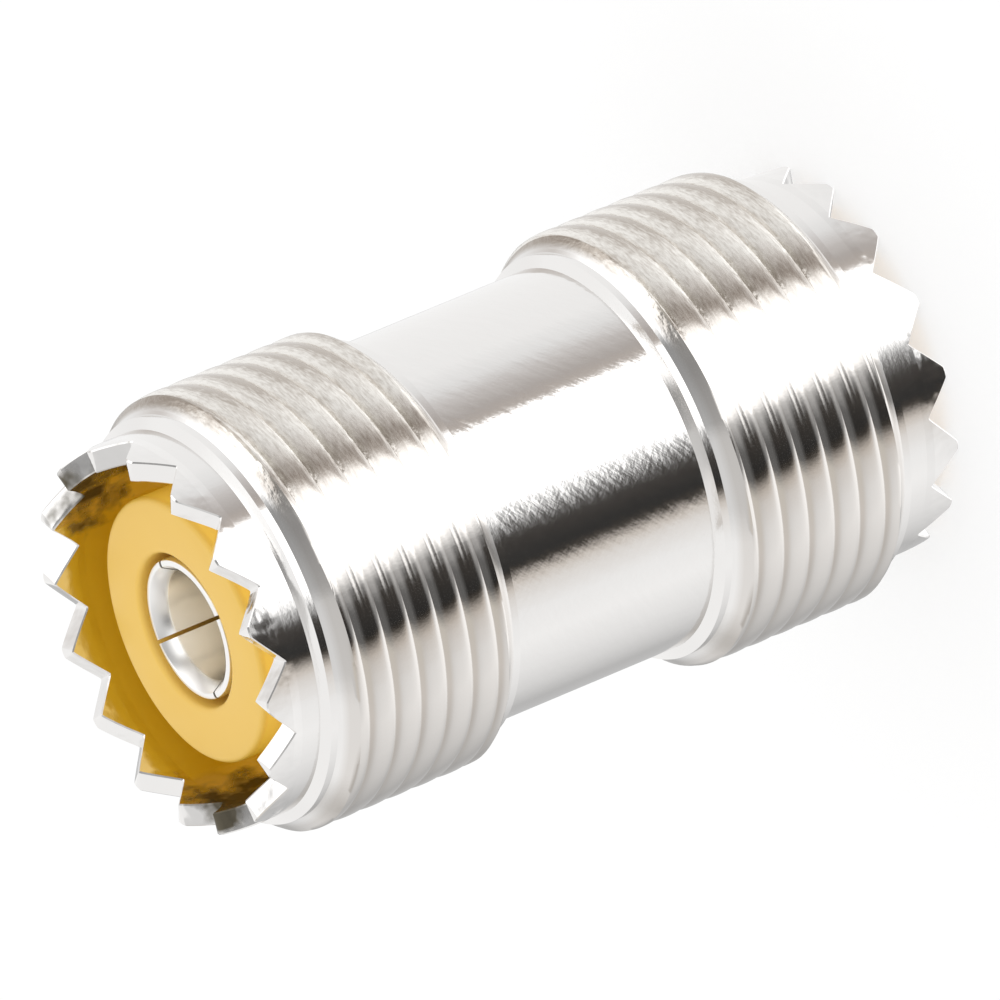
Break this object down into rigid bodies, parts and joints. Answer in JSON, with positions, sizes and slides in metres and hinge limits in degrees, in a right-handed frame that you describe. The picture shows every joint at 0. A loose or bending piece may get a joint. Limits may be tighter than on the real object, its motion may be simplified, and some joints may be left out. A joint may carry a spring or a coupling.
{
  "type": "coax adapter",
  "caption": "Straight double-female coaxial adapter: plated barrel with a thread and a toothed rim at each end, amber insulators and a slotted centre socket.",
  "frame": {"origin": "centre of the circle through the tooth tips of the end that it stands on", "axes": "+Z along the barrel's axis, towards the other end; a slot of each socket lies on +X"},
  "size_m": [0.0158, 0.0158, 0.0285],
  "materials": {
    "plated_shell": "bright nickel plating, turning marks on the threads",
    "amber_plastic": "satin moulded",
    "plated_contact": "bright silver plating"
  },
  "bodies": {
    "root": {"shell": "plated_shell", "insulator_near": "amber_plastic", "insulator_far": "amber_plastic", "center_contact": "plated_contact"}
  },
  "joints": []
}
